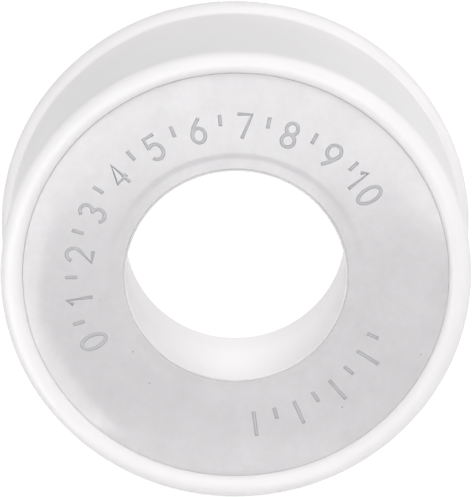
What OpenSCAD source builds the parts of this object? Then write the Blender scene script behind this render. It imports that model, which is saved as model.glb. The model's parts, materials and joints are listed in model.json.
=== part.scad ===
// Thread seal tape roll: a flanged spool of thin film that turns inside a round cover.
// The axis of the roll lies along Y, the spool's face looks towards -Y, and +Z is up.
// The origin is on the axis, halfway between the cover's two rims.

/* [Tape] */
// Width of the tape
tape_w = 12.7; // [6:0.1:30]
// Depth of the wound tape, from the hub outwards
tape_build = 8.2; // [3:0.1:20]
// Thickness of the loose outer turn
tail_t = 0.2; // [0.1:0.05:0.5]
// Angle that the loose outer turn covers
tail_sweep = 330; // [120:5:345]
// How far the free end springs out from the rest of the turn
tail_lift = 0.4; // [0:0.05:1]
// Angle of the free end, counted from +X towards +Z
tail_end_a = 75; // [0:5:355]

/* [Spool] */
// Diameter of the bore through the hub
bore_d = 23.4; // [10:0.1:60]
// Wall of the hub where it passes through the cover
spigot_wall = 1; // [0.5:0.1:2]
// Width of the shoulder that stops the hub at the cover
shoulder_w = 0.5; // [0.3:0.1:2]
// Thickness of the flange
flange_t = 1; // [0.8:0.1:3]
// Rounding of the flange's front edge
edge_round = 0.6; // [0.2:0.05:1]
// Rounding of the bore's front lip
lip_round = 0.5; // [0.2:0.05:1]
// How far the bore widens at its rear end
flare_w = 0.65; // [0.1:0.05:1.5]
// Length of the widening, along the bore
flare_l = 1.35; // [0.2:0.05:4]
// Width of the shallow dish around the bore
dish_w = 2.2; // [1:0.1:4]
// Depth of the dish at the bore
dish_d = 0.12; // [0.05:0.01:0.3]

/* [Cover] */
// Wall of the cover at the bottom of the groove
cover_wall = 1.3; // [0.8:0.1:3]
// Depth of the groove between the rims
groove_depth = 1; // [0.4:0.1:2]
// Thickness of the rear wall
wall_t = 1; // [0.6:0.1:3]
// Depth of the spool's face behind the front rim
face_recess = 0.6; // [0.2:0.1:3]
// Depth of the rear wall behind the rear rim
rear_recess = 3.5; // [1.5:0.1:8]
// Height cut off the rear rim to give it a flat foot
foot_cut = 0.1; // [0.02:0.01:0.3]
// Fillet between the rear wall and the skirt behind it
skirt_fillet = 0.8; // [0.2:0.1:1.2]

/* [Fits] */
// Radial running clearance of the hub in the rear wall
turn_clear = 0.08; // [0.02:0.01:0.1]
// Radial gap between the flange and the front rim
flange_gap = 0.25; // [0.15:0.05:0.6]
// Gap at each side of the tape
side_clear = 0.1; // [0.05:0.05:0.5]
// End float between the hub's shoulder and the rear wall
end_float = 0.05; // [0.02:0.01:0.2]
// Gap between the hub and the winding
core_gap = 0.05; // [0.02:0.01:0.2]
// Gap between the winding and the loose turn
tail_gap = 0.3; // [0.2:0.05:0.6]
// Gap between the free end and the cover
tail_clear = 0.35; // [0.3:0.05:1]

/* [Hidden] */
$fn = 96;

// Radii, from the bore outwards
bore_r = bore_d / 2;
spigot_r = bore_r + spigot_wall;
hub_r = spigot_r + shoulder_w;
wall_hole_r = spigot_r + turn_clear;
core_r = hub_r + core_gap;
winding_r = core_r + tape_build;
tail_r = winding_r + tail_gap;
cover_in_r = tail_r + tail_t + tail_lift + tail_clear;
flange_r = cover_in_r - flange_gap;
groove_r = cover_in_r + cover_wall;
rim_r = (cover_wall + groove_depth) / 2;
rim_c_r = cover_in_r + rim_r;
outer_d = 2 * (groove_r + groove_depth);

// Places along the axis, from the front rim backwards
tape_space = tape_w + 2 * side_clear;
roll_w = face_recess + flange_t + tape_space + wall_t + rear_recess;
front_y = -roll_w / 2;
foot_y = roll_w / 2;
face_y = front_y + face_recess;
flange_back_y = face_y + flange_t;
wall_front_y = flange_back_y + tape_space;
wall_back_y = wall_front_y + wall_t;
shoulder_y = wall_front_y - end_float;
tape_front_y = flange_back_y + side_clear;
tape_back_y = tape_front_y + tape_w;
front_rim_y = front_y + rim_r;
rear_rim_y = foot_y + foot_cut - rim_r;

// Roundings, held within the walls they are cut into
face_edge = min(edge_round, 0.75 * flange_t);
bore_lip = min(lip_round, 0.75 * flange_t);
bore_flare = min(flare_w, 0.7 * spigot_wall);
skirt_round = min(skirt_fillet, rear_recess / 2);
past = 0.5; // how far a cut runs past the surface

// Loose outer turn
tail_step = 5; // degrees between its cross-sections
tail_n = ceil(tail_sweep / tail_step);
far_apart = tail_n / 2; // cross-sections this far apart along the turn count as other parts of it

function tail_angle(i) = tail_end_a - tail_sweep * (1 - i / tail_n);
function tail_in(i) = tail_r + tail_lift * pow(i / tail_n, 4);
function around(r, a, y) = [r * cos(a), y, r * sin(a)];
function tail_section(i) = let (r = tail_in(i), a = tail_angle(i)) [
    around(r, a, tape_front_y),
    around(r + tail_t, a, tape_front_y),
    around(r + tail_t, a, tape_back_y),
    around(r, a, tape_back_y)
];
tail_points = [for (i = [0 : tail_n]) each tail_section(i)];
tail_faces = concat(
    [[0, 1, 2], [0, 2, 3]],
    [for (i = [0 : tail_n - 1], k = [0 : 3])
        let (a = 4 * i + k, b = 4 * i + (k + 1) % 4, c = b + 4, d = a + 4)
        each [[a, d, c], [a, c, b]]],
    [let (e = 4 * tail_n) each [[e, e + 2, e + 1], [e, e + 3, e + 2]]]
);
tail_self_gap = min([for (i = [0 : tail_n], j = [0 : tail_n])
    if (j - i > far_apart)
        norm(tail_section(i)[1] - tail_section(j)[0]) - tail_t]);
echo(tail_self_gap = tail_self_gap, outer_d = outer_d, roll_w = roll_w);

// Turns a profile of radius and height about the roll's axis
module turned() {
    rotate([-90, 0, 0]) rotate_extrude() children();
}

// Rectangle of a profile between two radii and two heights
module band(r1, r2, y1, y2) {
    translate([r1, y1]) square([r2 - r1, y2 - y1]);
}

// What a rounding of radius r takes off a corner at the origin that fills the +X +Y quarter
module corner_cut(r) {
    difference() {
        translate([-past, -past]) square(r + past);
        translate([r, r]) circle(r);
    }
}

// What a fillet of radius r adds in the +X +Y quarter of an inner corner at the origin
module corner_fill(r) {
    difference() {
        translate([-r / 2, -r / 2]) square(1.5 * r);
        translate([r, r]) circle(r);
    }
}

module outer_cover() {
    color("#f4f4f2") turned() difference() {
        union() {
            translate([rim_c_r, front_rim_y]) circle(rim_r);
            translate([rim_c_r, rear_rim_y]) circle(rim_r);
            band(cover_in_r, groove_r, front_rim_y, rear_rim_y);
            band(wall_hole_r, groove_r, wall_front_y, wall_back_y);
            translate([cover_in_r, wall_back_y]) mirror([1, 0]) corner_fill(skirt_round);
        }
        // flat foot of the rear rim
        band(cover_in_r - past, groove_r + groove_depth + past, foot_y, foot_y + rim_r);
    }
}

module spool() {
    color("#e6e7e8") turned() difference() {
        union() {
            band(bore_r, flange_r, face_y, flange_back_y);
            band(bore_r, hub_r, face_y, shoulder_y);
            band(bore_r, spigot_r, face_y, wall_back_y);
        }
        translate([flange_r, face_y]) mirror([1, 0]) corner_cut(face_edge);
        // shallow dish around the bore
        polygon([
            [bore_r - past, face_y - past],
            [bore_r + dish_w, face_y - past],
            [bore_r + dish_w, face_y],
            [bore_r + bore_lip, face_y + dish_d],
            [bore_r - past, face_y + dish_d]
        ]);
        translate([bore_r, face_y + dish_d]) corner_cut(bore_lip);
        // widening at the bore's rear end
        polygon([
            [bore_r - past, wall_back_y - flare_l],
            [bore_r, wall_back_y - flare_l],
            [bore_r + bore_flare, wall_back_y],
            [bore_r + bore_flare, wall_back_y + past],
            [bore_r - past, wall_back_y + past]
        ]);
    }
}

module tape_winding() {
    color("#fbfbf8") turned() band(core_r, winding_r, tape_front_y, tape_back_y);
}

module tape_end() {
    color("#fdfdfb") polyhedron(tail_points, tail_faces);
}

outer_cover();
spool();
tape_winding();
tape_end();
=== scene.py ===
# Thread seal tape roll: white film on a flanged spool that turns inside a round moulded cover.
# The axis lies along Y, the spool's face looks towards -Y, and +Z is up.
# Sizes in the dictionaries are millimetres and degrees. Angles round the roll go from +X towards +Z.
import json
import math
import random

import bmesh
import bpy
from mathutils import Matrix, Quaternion, Vector


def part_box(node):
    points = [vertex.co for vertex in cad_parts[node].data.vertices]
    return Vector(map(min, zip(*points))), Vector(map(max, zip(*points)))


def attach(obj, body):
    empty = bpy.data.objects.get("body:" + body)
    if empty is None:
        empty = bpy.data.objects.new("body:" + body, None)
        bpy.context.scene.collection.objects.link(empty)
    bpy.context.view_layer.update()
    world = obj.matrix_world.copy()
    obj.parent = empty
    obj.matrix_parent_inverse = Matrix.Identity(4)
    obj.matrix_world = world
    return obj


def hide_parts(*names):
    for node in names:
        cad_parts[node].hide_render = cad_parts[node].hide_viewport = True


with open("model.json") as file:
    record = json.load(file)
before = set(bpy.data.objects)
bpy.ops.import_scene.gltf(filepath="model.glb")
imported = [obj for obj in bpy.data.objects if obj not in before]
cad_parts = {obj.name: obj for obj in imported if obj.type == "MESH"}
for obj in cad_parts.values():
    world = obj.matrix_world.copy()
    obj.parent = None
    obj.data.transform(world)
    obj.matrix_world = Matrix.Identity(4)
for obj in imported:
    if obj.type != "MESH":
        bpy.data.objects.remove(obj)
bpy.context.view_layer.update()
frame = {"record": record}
mm = 0.001
mergeDistance = 1e-7  # metres, far below any detail

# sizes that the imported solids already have
coverLow, coverHigh = (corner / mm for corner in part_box("outer_cover"))
spoolLow, spoolHigh = (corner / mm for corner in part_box("spool"))
windingLow, windingHigh = (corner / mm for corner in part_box("tape_winding"))
boreR = next(m for m in frame["record"]["mounts"] if m["name"] == "bore")["dims"]["r_mm"]
outerR = coverHigh.x
flangeR = spoolHigh.x
faceY = spoolLow.y
hubEndY = spoolHigh.y  # the hub ends flush with the back of the cover's rear wall


def linear(hexColour):
    values = [int(hexColour[i:i + 2], 16) / 255 for i in (1, 3, 5)]
    return [v / 12.92 if v <= 0.04045 else ((v + 0.055) / 1.055) ** 2.4 for v in values] + [1.0]


def addNode(tree, kind, inputs=None, **settings):
    node = tree.nodes.new(kind)
    for name, value in settings.items():
        setattr(node, name, value)
    for key, value in (inputs or {}).items():
        if isinstance(value, bpy.types.NodeSocket):
            tree.links.new(value, node.inputs[key])
        else:
            node.inputs[key].default_value = value
    return node


def newMaterial(name):
    material = bpy.data.materials.new(name)
    material.use_nodes = True
    tree = material.node_tree
    tree.nodes.clear()
    return material, tree


def newGeometryTree(name, sockets):
    tree = bpy.data.node_groups.new(name, "GeometryNodeTree")
    tree.interface.new_socket("Geometry", in_out="INPUT", socket_type="NodeSocketGeometry")
    for socketName, kind in sockets.items():
        tree.interface.new_socket(socketName, in_out="INPUT", socket_type="NodeSocket" + kind)
    tree.interface.new_socket("Geometry", in_out="OUTPUT", socket_type="NodeSocketGeometry")
    return tree, addNode(tree, "NodeGroupInput").outputs


def endTree(tree, geometry, material):
    real = addNode(tree, "GeometryNodeRealizeInstances", {0: geometry}).outputs[0]
    dressed = addNode(tree, "GeometryNodeSetMaterial", {"Geometry": real, "Material": material})
    addNode(tree, "NodeGroupOutput", {0: dressed.outputs[0]})


def arc(centreR, centreY, radius, start, end, count):
    turns = [math.radians(start + (end - start) * i / count) for i in range(count + 1)]
    return [(centreR + radius * math.cos(t), centreY + radius * math.sin(t)) for t in turns]


def spread(first, last, count):
    return [first + (last - first) * i / count for i in range(count + 1)]


# Geometry Nodes: turns a closed profile, held as loose vertices of radius and height, about the Y axis
def makeTurnTree():
    tree, given = newGeometryTree("turnProfile", {"Steps": "Int", "Finish": "Material"})
    sizes = addNode(tree, "GeometryNodeAttributeDomainSize", {0: given["Geometry"]}).outputs
    points = sizes["Point Count"]
    across = addNode(tree, "FunctionNodeIntegerMath", {0: points, 1: 1}, operation="ADD").outputs[0]
    along = addNode(tree, "FunctionNodeIntegerMath", {0: given["Steps"], 1: 1}, operation="ADD").outputs[0]
    grid = addNode(tree, "GeometryNodeMeshGrid", {"Vertices X": across, "Vertices Y": along}).outputs[0]
    index = addNode(tree, "GeometryNodeInputIndex").outputs[0]
    row = addNode(tree, "FunctionNodeIntegerMath", {0: index, 1: along},
                  operation="DIVIDE_FLOOR").outputs[0]
    place = addNode(tree, "FunctionNodeIntegerMath", {0: row, 1: points}, operation="MODULO").outputs[0]
    column = addNode(tree, "FunctionNodeIntegerMath", {0: index, 1: along}, operation="MODULO").outputs[0]
    share = addNode(tree, "ShaderNodeMath", {0: column, 1: given["Steps"]}, operation="DIVIDE").outputs[0]
    angle = addNode(tree, "ShaderNodeMath", {0: share, 1: 2 * math.pi}, operation="MULTIPLY").outputs[0]
    position = addNode(tree, "GeometryNodeInputPosition").outputs[0]
    sample = addNode(tree, "GeometryNodeSampleIndex", {"Geometry": given["Geometry"], "Value": position,
                                                       "Index": place}, data_type="FLOAT_VECTOR")
    profile = addNode(tree, "ShaderNodeSeparateXYZ", {0: sample.outputs[0]}).outputs
    cosine = addNode(tree, "ShaderNodeMath", {0: angle}, operation="COSINE").outputs[0]
    sine = addNode(tree, "ShaderNodeMath", {0: angle}, operation="SINE").outputs[0]
    x = addNode(tree, "ShaderNodeMath", {0: profile["X"], 1: cosine}, operation="MULTIPLY").outputs[0]
    z = addNode(tree, "ShaderNodeMath", {0: profile["X"], 1: sine}, operation="MULTIPLY").outputs[0]
    spot = addNode(tree, "ShaderNodeCombineXYZ", {"X": x, "Y": profile["Y"], "Z": z}).outputs[0]
    turned = addNode(tree, "GeometryNodeSetPosition", {"Geometry": grid, "Position": spot}).outputs[0]
    closed = addNode(tree, "GeometryNodeMergeByDistance", {"Geometry": turned,
                                                           "Distance": mergeDistance}).outputs[0]
    endTree(tree, closed, given["Finish"])
    return tree


# Geometry Nodes: a round rod along every stroke, which the face is then cut with
def makeStrokeTree():
    tree, given = newGeometryTree("strokeRods", {"Radius": "Float", "Sides": "Int", "Finish": "Material"})
    lines = addNode(tree, "GeometryNodeMeshToCurve", {0: given["Geometry"]}).outputs[0]
    ring = addNode(tree, "GeometryNodeCurvePrimitiveCircle", {"Resolution": given["Sides"],
                                                              "Radius": given["Radius"]}).outputs[0]
    rods = addNode(tree, "GeometryNodeCurveToMesh", {"Curve": lines, "Profile Curve": ring,
                                                     "Fill Caps": True})
    endTree(tree, rods.outputs[0], given["Finish"])
    return tree


# Geometry Nodes: bends a strip of film once round the winding, with a raised free end and a slight ripple
def makeLooseTurnTree():
    tree, given = newGeometryTree("looseTurn", {"Radius": "Float", "Width": "Float", "Start": "Float",
                                                "Sweep": "Float", "Tuck": "Float", "Tuck Share": "Float",
                                                "Lift": "Float", "Lift Power": "Float", "Ripple": "Float",
                                                "Ripple Count": "Vector", "Middle": "Float",
                                                "Points Along": "Int", "Points Across": "Int",
                                                "Seed": "Float", "Finish": "Material"})
    grid = addNode(tree, "GeometryNodeMeshGrid", {"Size X": 1.0, "Size Y": given["Width"],
                                                  "Vertices X": given["Points Along"],
                                                  "Vertices Y": given["Points Across"]}).outputs[0]
    position = addNode(tree, "GeometryNodeInputPosition").outputs[0]
    flat = addNode(tree, "ShaderNodeSeparateXYZ", {0: position}).outputs
    # the flat strip is one long and lies around its own middle, so a half makes its share from 0 to 1
    share = addNode(tree, "ShaderNodeMath", {0: flat["X"], 1: 0.5}, operation="ADD").outputs[0]
    angle = addNode(tree, "ShaderNodeMath", {0: share, 1: given["Sweep"], 2: given["Start"]},
                    operation="MULTIPLY_ADD").outputs[0]
    raised = addNode(tree, "ShaderNodeMath", {0: share, 1: given["Lift Power"]},
                     operation="POWER").outputs[0]
    lift = addNode(tree, "ShaderNodeMath", {0: raised, 1: given["Lift"], 2: given["Radius"]},
                   operation="MULTIPLY_ADD").outputs[0]
    tucked = addNode(tree, "ShaderNodeMapRange", {"Value": share, "From Min": 0.0,
                                                  "From Max": given["Tuck Share"],
                                                  "To Min": given["Tuck"], "To Max": 0.0},
                     interpolation_type="SMOOTHSTEP").outputs[0]
    base = addNode(tree, "ShaderNodeMath", {0: lift, 1: tucked}, operation="SUBTRACT").outputs[0]
    stretch = addNode(tree, "ShaderNodeVectorMath", {0: position, 1: given["Ripple Count"]},
                      operation="MULTIPLY").outputs[0]
    noise = addNode(tree, "ShaderNodeTexNoise", {"Vector": stretch, "W": given["Seed"], "Scale": 1.0,
                                                 "Detail": 2.0}, noise_dimensions="4D").outputs[0]
    swing = addNode(tree, "ShaderNodeMapRange", {"Value": noise, "From Min": 0.25, "From Max": 0.75,
                                                 "To Min": -1.0, "To Max": 1.0}).outputs[0]
    radius = addNode(tree, "ShaderNodeMath", {0: swing, 1: given["Ripple"], 2: base},
                     operation="MULTIPLY_ADD").outputs[0]
    cosine = addNode(tree, "ShaderNodeMath", {0: angle}, operation="COSINE").outputs[0]
    sine = addNode(tree, "ShaderNodeMath", {0: angle}, operation="SINE").outputs[0]
    x = addNode(tree, "ShaderNodeMath", {0: radius, 1: cosine}, operation="MULTIPLY").outputs[0]
    y = addNode(tree, "ShaderNodeMath", {0: flat["Y"], 1: given["Middle"]}, operation="ADD").outputs[0]
    z = addNode(tree, "ShaderNodeMath", {0: radius, 1: sine}, operation="MULTIPLY").outputs[0]
    spot = addNode(tree, "ShaderNodeCombineXYZ", {"X": x, "Y": y, "Z": z}).outputs[0]
    bent = addNode(tree, "GeometryNodeSetPosition", {"Geometry": grid, "Position": spot}).outputs[0]
    endTree(tree, bent, given["Finish"])
    return tree


def addTree(piece, tree, values):
    modifier = piece.modifiers.new(tree.name, "NODES")
    modifier.node_group = tree
    for item in tree.interface.items_tree:
        if item.in_out == "INPUT" and item.name in values:
            modifier[item.identifier] = values[item.name]


def newPiece(name, vertices=(), edges=()):
    mesh = bpy.data.meshes.new(name)
    mesh.from_pydata([Vector(v) * mm for v in vertices], edges, [])
    piece = bpy.data.objects.new(name, mesh)
    bpy.context.scene.collection.objects.link(piece)
    return piece


# the modifiers' result becomes the piece's own mesh, with its doubles merged, its faces outwards and its
# shading smooth up to the crease angle
def settle(piece, body, node, crease):
    start = piece.data
    piece.data = bpy.data.meshes.new_from_object(piece.evaluated_get(bpy.context.evaluated_depsgraph_get()))
    piece.modifiers.clear()
    bpy.data.meshes.remove(start)
    finish = piece.data.materials[-1]
    piece.data.materials.clear()
    piece.data.materials.append(finish)
    shape = bmesh.new()
    shape.from_mesh(piece.data)
    bmesh.ops.remove_doubles(shape, verts=shape.verts, dist=mergeDistance)
    bmesh.ops.recalc_face_normals(shape, faces=shape.faces)
    for face in shape.faces:
        face.smooth = True
        face.material_index = 0
    for edge in shape.edges:
        edge.smooth = edge.calc_face_angle(math.pi) < math.radians(crease)
    shape.to_mesh(piece.data)
    shape.free()
    piece.data.name = piece.name
    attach(piece, body)
    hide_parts(node)
    print("piece", piece.name, len(piece.data.polygons), "faces")


# Satin white polypropylene, moulded in a finely eroded tool: soft wide highlights, a faint grain,
# barely cloudy white and a rare dark speck
def mouldedPolypropylene():
    look = {"white": "#f5f3f4", "cloud": "#efedee", "speck": "#8d8880", "cloudSize": 9.0,
            "speckSpacing": 6.0, "speckSize": 0.09, "speckCore": 0.4, "grainSize": 0.28, "grainDepth": 0.02,
            "grainStrength": 0.12, "roughness": 0.4, "roughnessSwing": 0.06, "seeInto": 0.12,
            "seeDepth": 1.2}
    material, tree = newMaterial("satinMouldedPolypropylene")
    here = addNode(tree, "ShaderNodeTexCoord").outputs["Object"]
    cloud = addNode(tree, "ShaderNodeTexNoise", {"Vector": here, "Scale": 1 / (look["cloudSize"] * mm),
                                                 "Detail": 3.0}).outputs[0]
    tint = addNode(tree, "ShaderNodeMix", {0: cloud, 6: linear(look["white"]), 7: linear(look["cloud"])},
                   data_type="RGBA").outputs[2]
    cells = addNode(tree, "ShaderNodeTexVoronoi", {"Vector": here,
                                                   "Scale": 1 / (look["speckSpacing"] * mm)}).outputs
    speckEdge = look["speckSize"] / look["speckSpacing"]
    speck = addNode(tree, "ShaderNodeMapRange", {"Value": cells["Distance"], "From Min": speckEdge,
                                                 "From Max": look["speckCore"] * speckEdge}).outputs[0]
    colour = addNode(tree, "ShaderNodeMix", {0: speck, 6: tint, 7: linear(look["speck"])},
                     data_type="RGBA").outputs[2]
    rough = addNode(tree, "ShaderNodeMapRange", {
        "Value": cloud, "To Min": look["roughness"] - look["roughnessSwing"],
        "To Max": look["roughness"] + look["roughnessSwing"]}).outputs[0]
    # the tool's grain is about 0.05 mm and is drawn coarser, so that it shows
    grain = addNode(tree, "ShaderNodeTexNoise", {"Vector": here, "Scale": 1 / (look["grainSize"] * mm),
                                                 "Detail": 2.0}).outputs[0]
    bump = addNode(tree, "ShaderNodeBump", {"Strength": look["grainStrength"], "Height": grain,
                                            "Distance": look["grainDepth"] * mm}).outputs[0]
    shader = addNode(tree, "ShaderNodeBsdfPrincipled", {
        "Base Color": colour, "Roughness": rough, "IOR": 1.49, "Subsurface Weight": look["seeInto"],
        "Subsurface Scale": look["seeDepth"] * mm, "Subsurface Radius": (1.0, 1.0, 1.0), "Normal": bump})
    addNode(tree, "ShaderNodeOutputMaterial", {"Surface": shader.outputs[0]})
    return material


# Pale grey polystyrene, moulded in a polished tool: clear reflections with a slow wobble, faint flow
# clouds, a bore painted whiter, partly for the white film behind its thin wall and partly as painted light
# from behind that grows towards the rear, and duller cut strokes painted darker as painted shade in their
# recesses
def mouldedPolystyrene():
    look = {"pale": "#d8d6d8", "flow": "#cccacc", "bore": "#faf8f8", "stroke": "#c4c3c6",
            "strokeWallShade": "#8c8b90", "speck": "#8d8880", "flowSize": 6.0, "streakFrom": 0.3,
            "streakTo": 0.7, "speckSpacing": 3.2, "speckSize": 0.1, "speckCore": 0.4, "wobbleSize": 6.0,
            "wobbleDepth": 0.05, "wobbleStrength": 0.25, "roughness": 0.13, "dullRoughness": 0.2,
            "strokeRoughness": 0.5, "boreRoughness": 0.6, "thinWall": 0.35, "paintedLightDepth": 9.0,
            "paintedLightFrontShare": 0.5, "wallDepth": 0.03, "strokeDepth": 0.12, "seeInto": 0.1, "seeDepth": 1.0}
    material, tree = newMaterial("glossyMouldedPolystyrene")
    here = addNode(tree, "ShaderNodeTexCoord").outputs["Object"]
    flow = addNode(tree, "ShaderNodeTexNoise", {"Vector": here, "Scale": 1 / (look["flowSize"] * mm),
                                                "Detail": 7.0, "Roughness": 0.75}).outputs[0]
    streaks = addNode(tree, "ShaderNodeMapRange", {"Value": flow, "From Min": look["streakFrom"],
                                                   "From Max": look["streakTo"]}).outputs[0]
    tint = addNode(tree, "ShaderNodeMix", {0: streaks, 6: linear(look["pale"]), 7: linear(look["flow"])},
                   data_type="RGBA").outputs[2]
    cells = addNode(tree, "ShaderNodeTexVoronoi", {"Vector": here,
                                                   "Scale": 1 / (look["speckSpacing"] * mm)}).outputs
    speckEdge = look["speckSize"] / look["speckSpacing"]
    speck = addNode(tree, "ShaderNodeMapRange", {"Value": cells["Distance"], "From Min": speckEdge,
                                                 "From Max": look["speckCore"] * speckEdge}).outputs[0]
    dotted = addNode(tree, "ShaderNodeMix", {0: speck, 6: tint, 7: linear(look["speck"])},
                     data_type="RGBA").outputs[2]
    # the distance from the axis tells the bore from the face. The bore is painted whiter, partly for the
    # white film behind its thin wall and partly as painted light from behind, which grows from the face
    # towards the rear
    radial = addNode(tree, "ShaderNodeVectorMath", {0: here, 1: (1.0, 0.0, 1.0)},
                     operation="MULTIPLY").outputs[0]
    radius = addNode(tree, "ShaderNodeVectorMath", {0: radial}, operation="LENGTH").outputs["Value"]
    inBore = addNode(tree, "ShaderNodeMapRange", {"Value": radius,
                                                  "From Min": (boreR + look["thinWall"]) * mm,
                                                  "From Max": boreR * mm}).outputs[0]
    depth = addNode(tree, "ShaderNodeSeparateXYZ", {0: here}).outputs["Y"]
    # painted light from behind: half the whitening at the face, all of it deeper in
    behind = addNode(tree, "ShaderNodeMapRange", {"Value": depth, "From Min": faceY * mm,
                                                  "From Max": (faceY + look["paintedLightDepth"]) * mm,
                                                  "To Min": look["paintedLightFrontShare"]}).outputs[0]
    filmAndPaintedLight = addNode(tree, "ShaderNodeMath", {0: inBore, 1: behind}, operation="MULTIPLY").outputs[0]
    # the bore's whitening: partly the film behind the wall, partly painted light
    filmAndLightTint = addNode(tree, "ShaderNodeMix", {0: filmAndPaintedLight, 6: dotted, 7: linear(look["bore"])},
                     data_type="RGBA").outputs[2]
    # the depth below the face, within the scale's band, tells the strokes, painted darker as painted shade
    # in their recesses: darkest on the walls and paler on the floor
    below = addNode(tree, "ShaderNodeMapRange", {"Value": depth, "From Min": faceY * mm,
                                                 "From Max": (faceY + look["wallDepth"]) * mm}).outputs[0]
    deep = addNode(tree, "ShaderNodeMapRange", {"Value": depth,
                                                "From Min": (faceY + look["wallDepth"]) * mm,
                                                "From Max": (faceY + look["strokeDepth"]) * mm}).outputs[0]
    inBand = addNode(tree, "ShaderNodeMath", {0: radius, 1: (bandInR + bandOutR) / 2 * mm,
                                              2: (bandOutR - bandInR) / 2 * mm},
                     operation="COMPARE").outputs[0]
    stroke = addNode(tree, "ShaderNodeMath", {0: below, 1: inBand}, operation="MULTIPLY").outputs[0]
    # painted shade in the strokes' recesses: dark walls and a paler floor
    paintedStrokeShade = addNode(tree, "ShaderNodeMix", {0: deep, 6: linear(look["strokeWallShade"]),
                                              7: linear(look["stroke"])}, data_type="RGBA").outputs[2]
    colour = addNode(tree, "ShaderNodeMix", {0: stroke, 6: filmAndLightTint, 7: paintedStrokeShade}, data_type="RGBA").outputs[2]
    gloss = addNode(tree, "ShaderNodeMapRange", {"Value": streaks, "To Min": look["roughness"],
                                                 "To Max": look["dullRoughness"]}).outputs[0]
    dull = addNode(tree, "ShaderNodeMapRange", {"Value": inBore, "To Min": gloss,
                                                "To Max": look["boreRoughness"]}).outputs[0]
    rough = addNode(tree, "ShaderNodeMapRange", {"Value": stroke, "To Min": dull,
                                                 "To Max": look["strokeRoughness"]}).outputs[0]
    wobble = addNode(tree, "ShaderNodeTexNoise", {"Vector": here, "Scale": 1 / (look["wobbleSize"] * mm),
                                                  "Detail": 1.0}).outputs[0]
    bump = addNode(tree, "ShaderNodeBump", {"Strength": look["wobbleStrength"], "Height": wobble,
                                            "Distance": look["wobbleDepth"] * mm}).outputs[0]
    shader = addNode(tree, "ShaderNodeBsdfPrincipled", {
        "Base Color": colour, "Roughness": rough, "IOR": 1.59, "Subsurface Weight": look["seeInto"],
        "Subsurface Scale": look["seeDepth"] * mm, "Subsurface Radius": (1.0, 1.0, 1.0), "Normal": bump})
    addNode(tree, "ShaderNodeOutputMaterial", {"Surface": shader.outputs[0]})
    return material


# Skived fluoropolymer film: waxy, slightly see-through white, with fine lines along its length from the
# knife and, at the winding's ends, the edges of its turns
def skivedFilm():
    look = {"white": "#fbfaf9", "shade": "#efeded", "lineSize": 0.3, "linePull": 0.04, "turnPitch": 0.3,
            "ridgeDepth": 0.03, "ridgeStrength": 0.3, "roughness": 0.45, "roughnessSwing": 0.1,
            "seeInto": 0.3, "seeDepth": 0.8}
    waveRepeat = 0.314  # a ring wave of scale 1 repeats after this length
    material, tree = newMaterial("skivedFluoropolymerFilm")
    here = addNode(tree, "ShaderNodeTexCoord").outputs["Object"]
    pulled = addNode(tree, "ShaderNodeMapping", {
        "Vector": here, "Scale": (look["linePull"], 1.0, look["linePull"])}).outputs[0]
    lines = addNode(tree, "ShaderNodeTexNoise", {"Vector": pulled, "Scale": 1 / (look["lineSize"] * mm),
                                                 "Detail": 3.0}).outputs[0]
    # the turns are 0.075 mm apart and are drawn coarser, so that they show
    turns = addNode(tree, "ShaderNodeTexWave", {"Vector": here,
                                                "Scale": waveRepeat / (look["turnPitch"] * mm),
                                                "Distortion": 1.5},
                    wave_type="RINGS", rings_direction="Y").outputs["Fac"]
    streaks = addNode(tree, "ShaderNodeMath", {0: lines, 1: turns}, operation="MULTIPLY").outputs[0]
    colour = addNode(tree, "ShaderNodeMix", {0: streaks, 6: linear(look["shade"]),
                                             7: linear(look["white"])}, data_type="RGBA").outputs[2]
    rough = addNode(tree, "ShaderNodeMapRange", {
        "Value": lines, "To Min": look["roughness"] - look["roughnessSwing"],
        "To Max": look["roughness"] + look["roughnessSwing"]}).outputs[0]
    bump = addNode(tree, "ShaderNodeBump", {"Strength": look["ridgeStrength"], "Height": streaks,
                                            "Distance": look["ridgeDepth"] * mm}).outputs[0]
    shader = addNode(tree, "ShaderNodeBsdfPrincipled", {
        "Base Color": colour, "Roughness": rough, "IOR": 1.38, "Subsurface Weight": look["seeInto"],
        "Subsurface Scale": look["seeDepth"] * mm, "Subsurface Radius": (1.0, 1.0, 1.0), "Normal": bump})
    addNode(tree, "ShaderNodeOutputMaterial", {"Surface": shader.outputs[0]})
    return material


turnTree = makeTurnTree()
strokeTree = makeStrokeTree()
looseTurnTree = makeLooseTurnTree()
coverPlastic = mouldedPolypropylene()
film = skivedFilm()
print("trees and materials made")

# Cover: a round bead at each end, a flat-bottomed groove between them and a wall inside at the rear
cover = {"flangeGap": 0.15, "grooveDepth": 1.0, "beadFillet": 0.4, "footCut": 0.1, "wall": 1.0,
         "skirtFillet": 0.8, "spigotWall": 1.0, "holeClear": 0.08, "edgeRound": 0.15, "cornerFillet": 0.3,
         "frontSteps": 40, "rearSteps": 22, "footSteps": 10, "filletSteps": 8, "edgeSteps": 4,
         "cornerSteps": 5, "steps": 288, "crease": 40}
insideR = flangeR + cover["flangeGap"]
beadR = (outerR - insideR) / 2
beadMidR = insideR + beadR
grooveR = outerR - cover["grooveDepth"]
frontBeadY = coverLow.y + beadR
rearBeadY = coverHigh.y + cover["footCut"] - beadR
wallBackY = hubEndY
wallFrontY = wallBackY - cover["wall"]
holeR = boreR + cover["spigotWall"] + cover["holeClear"]
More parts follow.
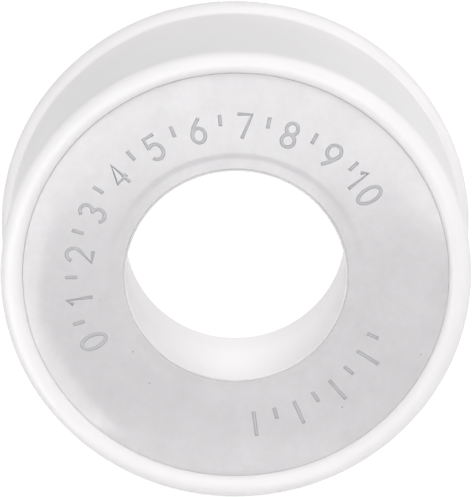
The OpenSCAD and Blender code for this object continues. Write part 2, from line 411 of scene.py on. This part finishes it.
# the small fillet between a bead and the groove touches both
filletMidR = grooveR + cover["beadFillet"]
filletAway = math.sqrt((beadR + cover["beadFillet"]) ** 2 - (filletMidR - beadMidR) ** 2)
filletTurn = math.degrees(math.atan2(filletAway, filletMidR - beadMidR))
footTurn = math.degrees(math.asin((coverHigh.y - rearBeadY) / beadR))
skirtMidR = insideR - cover["skirtFillet"]
skirtMidY = wallBackY + cover["skirtFillet"]
edge = cover["edgeRound"]
corner = cover["cornerFillet"]
fillet = cover["beadFillet"]
filletSteps = cover["filletSteps"]
edgeSteps = cover["edgeSteps"]
coverProfile = (
    arc(beadMidR, frontBeadY, beadR, 180, 360 + filletTurn, cover["frontSteps"])
    + arc(filletMidR, frontBeadY + filletAway, fillet, 180 + filletTurn, 180, filletSteps)
    + arc(filletMidR, rearBeadY - filletAway, fillet, 180, 180 - filletTurn, filletSteps)
    + arc(beadMidR, rearBeadY, beadR, -filletTurn, footTurn, cover["rearSteps"])
    + arc(beadMidR, rearBeadY, beadR, 180 - footTurn, 180, cover["footSteps"])
    + arc(skirtMidR, skirtMidY, cover["skirtFillet"], 0, -90, filletSteps)
    + arc(holeR + edge, wallBackY - edge, edge, 90, 180, edgeSteps)
    + arc(holeR + edge, wallFrontY + edge, edge, 180, 270, edgeSteps)
    + arc(insideR - corner, wallFrontY - corner, corner, 90, 0, cover["cornerSteps"])
)
coverPiece = newPiece("coverShell", [(r, y, 0) for r, y in coverProfile])
addTree(coverPiece, turnTree, {"Steps": cover["steps"], "Finish": coverPlastic})
settle(coverPiece, "cover", "outer_cover", cover["crease"])

# Spool: a flat face that falls away gently towards its edge, a shallow dish and a witness line of the mould
# round the bore, and a hub with a spigot
spool = {"flange": 1.0, "fineGap": 0.018, "crownFrom": 19.4, "crownTurn": 8.0, "edgeRound": 0.04,
         "lipRound": 0.1, "dishWidth": 2.2, "dishRamp": 0.9, "dishDepth": 0.04, "witnessR": 0.22,
         "witnessWidth": 0.22, "witnessDepth": 0.14, "spigotWall": 1.0, "shoulder": 0.5,
         "shoulderGap": 0.05, "flareWidth": 0.65, "flareLength": 1.35, "endRound": 0.1, "bendSteps": 6,
         "rollSteps": 4, "crownSteps": 10, "dishSteps": 8, "lipSteps": 6, "endSteps": 3, "steps": 360,
         "crease": 35}
scale = {"innerR": 15.4, "firstAngle": 206.0, "lastAngle": 36.0, "numbers": 10, "parts": 2,
         "digitHeight": 2.75, "digitWidth": 1.5, "digitGap": 0.55, "tickLength": 1.3, "longTick": 2.75,
         "lowFirst": 277.0, "lowLast": 335.0, "strokeRadius": 0.2, "strokeSides": 12, "strokeRise": 0.03,
         "margin": 0.5}
spigotR = boreR + spool["spigotWall"]
hubR = spigotR + spool["shoulder"]
flangeBackY = faceY + spool["flange"]
shoulderY = wallFrontY - spool["shoulderGap"]
# the flange's edge follows the bead closely: the fit looks finer than the running gap of the solids
crownFall = math.tan(math.radians(spool["crownTurn"])) * (insideR - spool["crownFrom"]) / 2
rollMidY = faceY + crownFall + spool["edgeRound"]
edgeBendR = beadR + spool["fineGap"]
edgeTurn = math.degrees(math.asin((frontBeadY - rollMidY) / edgeBendR))
flangeEdge = arc(beadMidR, frontBeadY, edgeBendR, 180, 180 + edgeTurn, spool["bendSteps"])
crownEndR = flangeEdge[-1][0] - spool["edgeRound"]
flangeRoll = arc(crownEndR, rollMidY, spool["edgeRound"], 0, -90, spool["rollSteps"])
dishR = boreR + spool["dishWidth"]
dishY = faceY + spool["dishDepth"]
lipMidR = boreR + spool["lipRound"]
lipMidY = dishY + spool["lipRound"]
witnessR = boreR + spool["witnessR"]
halfWitness = spool["witnessWidth"] / 2
flareR = boreR + spool["flareWidth"]
endRound = spool["endRound"]
endSteps = spool["endSteps"]
bandInR = scale["innerR"] - scale["margin"]
bandOutR = scale["innerR"] + scale["digitHeight"] + scale["margin"]
crown = [(spool["crownFrom"] + (crownEndR - spool["crownFrom"]) * t, faceY + crownFall * t * t)
         for t in spread(1, 0, spool["crownSteps"])]
dish = [(dishR - spool["dishRamp"] * t, faceY + spool["dishDepth"] * t * t * (3 - 2 * t))
        for t in spread(0, 1, spool["dishSteps"])]
witness = [(witnessR + halfWitness, dishY), (witnessR, dishY + spool["witnessDepth"]),
           (witnessR - halfWitness, dishY)]
spoolProfile = (
    arc(lipMidR, lipMidY, spool["lipRound"], 270, 180, spool["lipSteps"])
    + [(boreR, hubEndY - spool["flareLength"])]
    + arc(flareR + endRound, hubEndY - endRound, endRound, 180, 90, endSteps)
    + arc(spigotR - endRound, hubEndY - endRound, endRound, 90, 0, endSteps)
    + [(spigotR, shoulderY), (hubR, shoulderY), (hubR, flangeBackY), (flangeEdge[0][0], flangeBackY)]
    + flangeEdge
    + flangeRoll[1:-1]
    + crown
    + [(bandOutR, faceY), (bandInR, faceY)]
    + dish
    + witness
)


def oval(midU, midV, halfU, halfV, start, end, count=20):
    turns = [math.radians(a) for a in spread(start, end, count)]
    return [(midU + halfU * math.cos(t), midV + halfV * math.sin(t)) for t in turns]


# plain single-stroke digits, drawn in a box that is one wide and one high
digitStrokes = {
    "0": [oval(0.5, 0.5, 0.48, 0.5, 0, 360)],
    "1": [[(0.2, 0.78), (0.55, 1.0), (0.55, 0.0)]],
    "2": [oval(0.5, 0.7, 0.46, 0.3, 165, -40) + [(0.02, 0.0), (0.98, 0.0)]],
    "3": [oval(0.46, 0.76, 0.42, 0.24, 150, -90), oval(0.46, 0.26, 0.5, 0.26, 90, -150)],
    "4": [[(0.74, 0.0), (0.74, 1.0), (0.0, 0.3), (1.0, 0.3)]],
    "5": [[(0.9, 1.0), (0.16, 1.0), (0.1, 0.54)], oval(0.45, 0.32, 0.52, 0.32, 132, -150)],
    "6": [oval(0.5, 0.3, 0.48, 0.3, 0, 360), [(0.74, 1.0), (0.26, 0.66), (0.02, 0.3)]],
    "7": [[(0.02, 1.0), (0.98, 1.0), (0.36, 0.0)]],
    "8": [oval(0.5, 0.76, 0.4, 0.24, 0, 360), oval(0.5, 0.26, 0.48, 0.26, 0, 360)],
    "9": [oval(0.5, 0.7, 0.48, 0.3, 0, 360), [(0.26, 0.0), (0.74, 0.34), (0.98, 0.7)]],
}


# a point of the scale's band: along is millimetres clockwise from the angle, up is the height over innerR
def onFace(angle, along, up):
    radius = scale["innerR"] + up
    turn = math.radians(angle) - along / (scale["innerR"] + scale["digitHeight"] / 2)
    return (radius * math.cos(turn), faceY - scale["strokeRise"], radius * math.sin(turn))


# a plain counting scale: numbers over the top with ticks between them, and ticks alone below
def scaleStrokes():
    strokes = []
    sweep = scale["firstAngle"] - scale["lastAngle"]
    spaces = scale["numbers"] * scale["parts"]
    for i in range(spaces + 1):
        angle = scale["firstAngle"] - sweep * i / spaces
        if i % scale["parts"]:
            top = scale["digitHeight"]
            strokes.append([onFace(angle, 0, top - scale["tickLength"]), onFace(angle, 0, top)])
            continue
        text = str(i // scale["parts"])
        wide = len(text) * scale["digitWidth"] + (len(text) - 1) * scale["digitGap"]
        for k, digit in enumerate(text):
            left = k * (scale["digitWidth"] + scale["digitGap"]) - wide / 2
            for stroke in digitStrokes[digit]:
                strokes.append([onFace(angle, left + u * scale["digitWidth"], v * scale["digitHeight"])
                                for u, v in stroke])
    ticks = round((scale["lowLast"] - scale["lowFirst"]) / (sweep / spaces))
    for i in range(ticks + 1):
        angle = scale["lowFirst"] + (scale["lowLast"] - scale["lowFirst"]) * i / ticks
        length = scale["tickLength"] if i % scale["parts"] else scale["longTick"]
        strokes.append([onFace(angle, 0, 0), onFace(angle, 0, length)])
    return strokes


markPoints = []
markEdges = []
for stroke in scaleStrokes():
    markEdges += [(len(markPoints) + i, len(markPoints) + i + 1) for i in range(len(stroke) - 1)]
    markPoints += stroke
marks = newPiece("scaleMarks", markPoints, markEdges)
spoolPlastic = mouldedPolystyrene()
addTree(marks, strokeTree, {"Radius": scale["strokeRadius"] * mm, "Sides": scale["strokeSides"],
                            "Finish": spoolPlastic})
spoolPiece = newPiece("spoolMoulding", [(r, y, 0) for r, y in spoolProfile])
addTree(spoolPiece, turnTree, {"Steps": spool["steps"], "Finish": spoolPlastic})
cut = spoolPiece.modifiers.new("strokes", "BOOLEAN")
cut.operation = "DIFFERENCE"
cut.solver = "EXACT"
cut.use_self = True
cut.object = marks
settle(spoolPiece, "reel", "spool", spool["crease"])
bpy.data.objects.remove(marks)

# Winding: film wound on the hub, its turns a little uneven at both ends
winding = {"hubGap": 0.05, "turnStep": 0.25, "endWander": 0.07, "rimWander": 0.02, "seed": 11, "steps": 288,
           "crease": 60}
dice = random.Random(winding["seed"])
coreR = hubR + winding["hubGap"]
turnCount = round((windingHigh.x - coreR) / winding["turnStep"])
bandCount = round((windingHigh.y - windingLow.y) / winding["turnStep"])
turnRadii = spread(coreR, windingHigh.x, turnCount)
frontEnd = [(r, windingLow.y + winding["endWander"] * dice.random()) for r in turnRadii]
outside = [(windingHigh.x - winding["rimWander"] * dice.random(), y)
           for y in spread(windingLow.y, windingHigh.y, bandCount)[1:-1]]
rearEnd = [(r, windingHigh.y - winding["endWander"] * dice.random()) for r in reversed(turnRadii)]
windingPiece = newPiece("filmWinding", [(r, y, 0) for r, y in frontEnd + outside + rearEnd])
addTree(windingPiece, turnTree, {"Steps": winding["steps"], "Finish": film})
settle(windingPiece, "reel", "tape_winding", winding["crease"])

# Loose turn: the last turn of film, which leaves the winding and springs out a little at its free end
looseTurn = {"thickness": 0.12, "gap": 0.4, "tuck": 0.25, "tuckShare": 0.12, "lift": 0.4, "liftPower": 4.0,
             "start": -255.0, "sweep": 330.0, "ripple": 0.05, "ripplesRound": 9.0, "ripplesPerMetre": 160.0,
             "pointsAlong": 241, "pointsAcross": 17, "seed": 3.0, "crease": 40}
tailPiece = newPiece("filmTail")
addTree(tailPiece, looseTurnTree, {
    "Radius": (windingHigh.x + looseTurn["gap"]) * mm, "Width": (windingHigh.y - windingLow.y) * mm,
    "Start": math.radians(looseTurn["start"]), "Sweep": math.radians(looseTurn["sweep"]),
    "Tuck": looseTurn["tuck"] * mm, "Tuck Share": looseTurn["tuckShare"],
    "Lift": looseTurn["lift"] * mm, "Lift Power": looseTurn["liftPower"],
    "Ripple": looseTurn["ripple"] * mm,
    "Ripple Count": (looseTurn["ripplesRound"], looseTurn["ripplesPerMetre"], 0.0),
    "Middle": (windingHigh.y + windingLow.y) / 2 * mm, "Points Along": looseTurn["pointsAlong"],
    "Points Across": looseTurn["pointsAcross"], "Seed": looseTurn["seed"], "Finish": film})
thick = tailPiece.modifiers.new("thickness", "SOLIDIFY")
thick.thickness = looseTurn["thickness"] * mm
thick.offset = 0
settle(tailPiece, "tape_tail", "tape_end", looseTurn["crease"])

# Camera: a long lens, a little above the face
view = {"azimuth": -0.25, "elevation": 19.1, "distance": 2000.0, "pixelsPerMm": 9.38, "imageWidth": 472,
        "imageHeight": 497, "originX": 235.5, "originY": 248.5, "sensor": 36.0, "seesTo": 100000.0}
longSide = max(view["imageWidth"], view["imageHeight"])
turn = math.radians(view["azimuth"])
rise = math.radians(view["elevation"])
back = Vector((math.sin(turn) * math.cos(rise), -math.cos(turn) * math.cos(rise), math.sin(rise)))
camera = bpy.data.objects.new("camera", bpy.data.cameras.new("camera"))
camera.data.sensor_width = view["sensor"]
camera.data.lens = camera.data.sensor_width * view["pixelsPerMm"] * view["distance"] / longSide
camera.data.shift_x = (view["imageWidth"] / 2 - view["originX"]) / longSide
camera.data.shift_y = (view["originY"] - view["imageHeight"] / 2) / longSide
camera.data.clip_end = view["seesTo"] * mm
camera.location = back * view["distance"] * mm
camera.rotation_euler = (-back).to_track_quat("-Z", "Y").to_euler()
bpy.context.scene.collection.objects.link(camera)
bpy.context.scene.camera = camera
bpy.context.scene.view_settings.view_transform = "Standard"
print("camera set", round(camera.data.lens), "mm lens")

# Studio: a white floor and surroundings, large soft lamps high and low in front, one low on each side, one
# high on the right and a small one behind the bore. The cards on the floor show in the glossy face alone.
studio = {"surround": "#ffffff", "floorSize": 12000.0, "floorBounce": "#f4f4f3", "floorShade": "#959595",
          "floorGlow": 0.9, "ambient": 0.34}
lamps = [
    {"name": "highFrontLamp", "from": (0.0, -600.0, 700.0), "size": (900.0, 900.0), "radiance": 1.6},
    {"name": "lowFrontLamp", "from": (0.0, -850.0, 110.0), "size": (1500.0, 250.0), "radiance": 1.4},
    {"name": "leftLamp", "from": (-800.0, -40.0, 90.0), "size": (300.0, 220.0), "radiance": 3.6},
    {"name": "rightLamp", "from": (800.0, -40.0, 90.0), "size": (300.0, 220.0), "radiance": 2.5},
    {"name": "highRightLamp", "from": (600.0, 0.0, 650.0), "size": (600.0, 600.0), "radiance": 1.25},
    {"name": "rearLamp", "from": (0.0, 50.0, 19.0), "size": (16.0, 16.0), "radiance": 11.0},
    {"name": "frontCard", "from": (0.0, -553.0, -24.0), "aim": (0.0, -553.0, 100.0), "size": (200.0, 900.0),
     "radiance": 3.2, "mirrored": True},
    {"name": "leftCard", "from": (-70.0, -60.0, -24.0), "aim": (-70.0, -60.0, 100.0), "size": (80.0, 80.0),
     "radiance": 3.2, "mirrored": True},
    {"name": "footCard", "from": (-10.0, -18.0, -24.0), "aim": (-10.0, -18.0, 100.0), "size": (44.0, 13.0),
     "radiance": 0.9, "mirrored": True},
    {"name": "edgeCard", "from": (-25.4, -34.3, -24.0), "aim": (-25.4, -34.3, 100.0), "size": (12.0, 34.0),
     "turn": 21.6, "radiance": 2.4, "mirrored": True},
]


# 1 for the rays that show the background to the eye, straight, mirrored or through something clear
def whiteToEye(tree):
    path = addNode(tree, "ShaderNodeLightPath").outputs
    seen = addNode(tree, "ShaderNodeMath", {0: path["Is Camera Ray"], 1: path["Is Glossy Ray"]},
                   operation="MAXIMUM").outputs[0]
    return addNode(tree, "ShaderNodeMath", {0: seen, 1: path["Is Transmission Ray"]},
                   operation="MAXIMUM").outputs[0]


# Matt white paper sweep: even and white to the eye, with a faint shadow under the roll
floorPaper, tree = newMaterial("mattPaperSweep")
paper = addNode(tree, "ShaderNodeBsdfDiffuse", {"Color": linear(studio["floorBounce"])}).outputs[0]
shade = addNode(tree, "ShaderNodeBsdfDiffuse", {"Color": linear(studio["floorShade"])}).outputs[0]
glow = addNode(tree, "ShaderNodeEmission", {"Strength": studio["floorGlow"]}).outputs[0]
seenPaper = addNode(tree, "ShaderNodeAddShader", {0: shade, 1: glow}).outputs[0]
paperMix = addNode(tree, "ShaderNodeMixShader", {0: whiteToEye(tree), 1: paper, 2: seenPaper}).outputs[0]
addNode(tree, "ShaderNodeOutputMaterial", {"Surface": paperMix})
half = studio["floorSize"] / 2
floor = newPiece("floor")
floorCorners = [(-half, -half), (half, -half), (half, half), (-half, half)]
floor.data.from_pydata([Vector((x, y, coverLow.z)) * mm for x, y in floorCorners], [], [(0, 1, 2, 3)])
floor.data.materials.append(floorPaper)

world = bpy.data.worlds.new("studio")
world.use_nodes = True
world.node_tree.nodes.clear()
around = addNode(world.node_tree, "ShaderNodeMix", {0: whiteToEye(world.node_tree),
                                                    2: studio["ambient"], 3: 1.0}).outputs[0]
surround = addNode(world.node_tree, "ShaderNodeBackground", {"Color": linear(studio["surround"]),
                                                             "Strength": around}).outputs[0]
addNode(world.node_tree, "ShaderNodeOutputWorld", {"Surface": surround})
bpy.context.scene.world = world

for lamp in lamps:
    light = bpy.data.lights.new(lamp["name"], "AREA")
    light.shape = "RECTANGLE"
    light.size = lamp["size"][0] * mm
    light.size_y = lamp["size"][1] * mm
    light.energy = lamp["radiance"] * math.pi * light.size * light.size_y
    piece = bpy.data.objects.new(lamp["name"], light)
    piece.location = Vector(lamp["from"]) * mm
    aim = Vector(lamp.get("aim", (0, 0, 0))) * mm
    aimed = (aim - piece.location).to_track_quat("-Z", "Y")
    piece.rotation_euler = (aimed @ Quaternion((0, 0, 1), math.radians(lamp.get("turn", 0)))).to_euler()
    piece.visible_camera = False
    piece.visible_diffuse = not lamp.get("mirrored", False)  # a mirrored card shows in the gloss alone
    bpy.context.scene.collection.objects.link(piece)
print("studio lit")
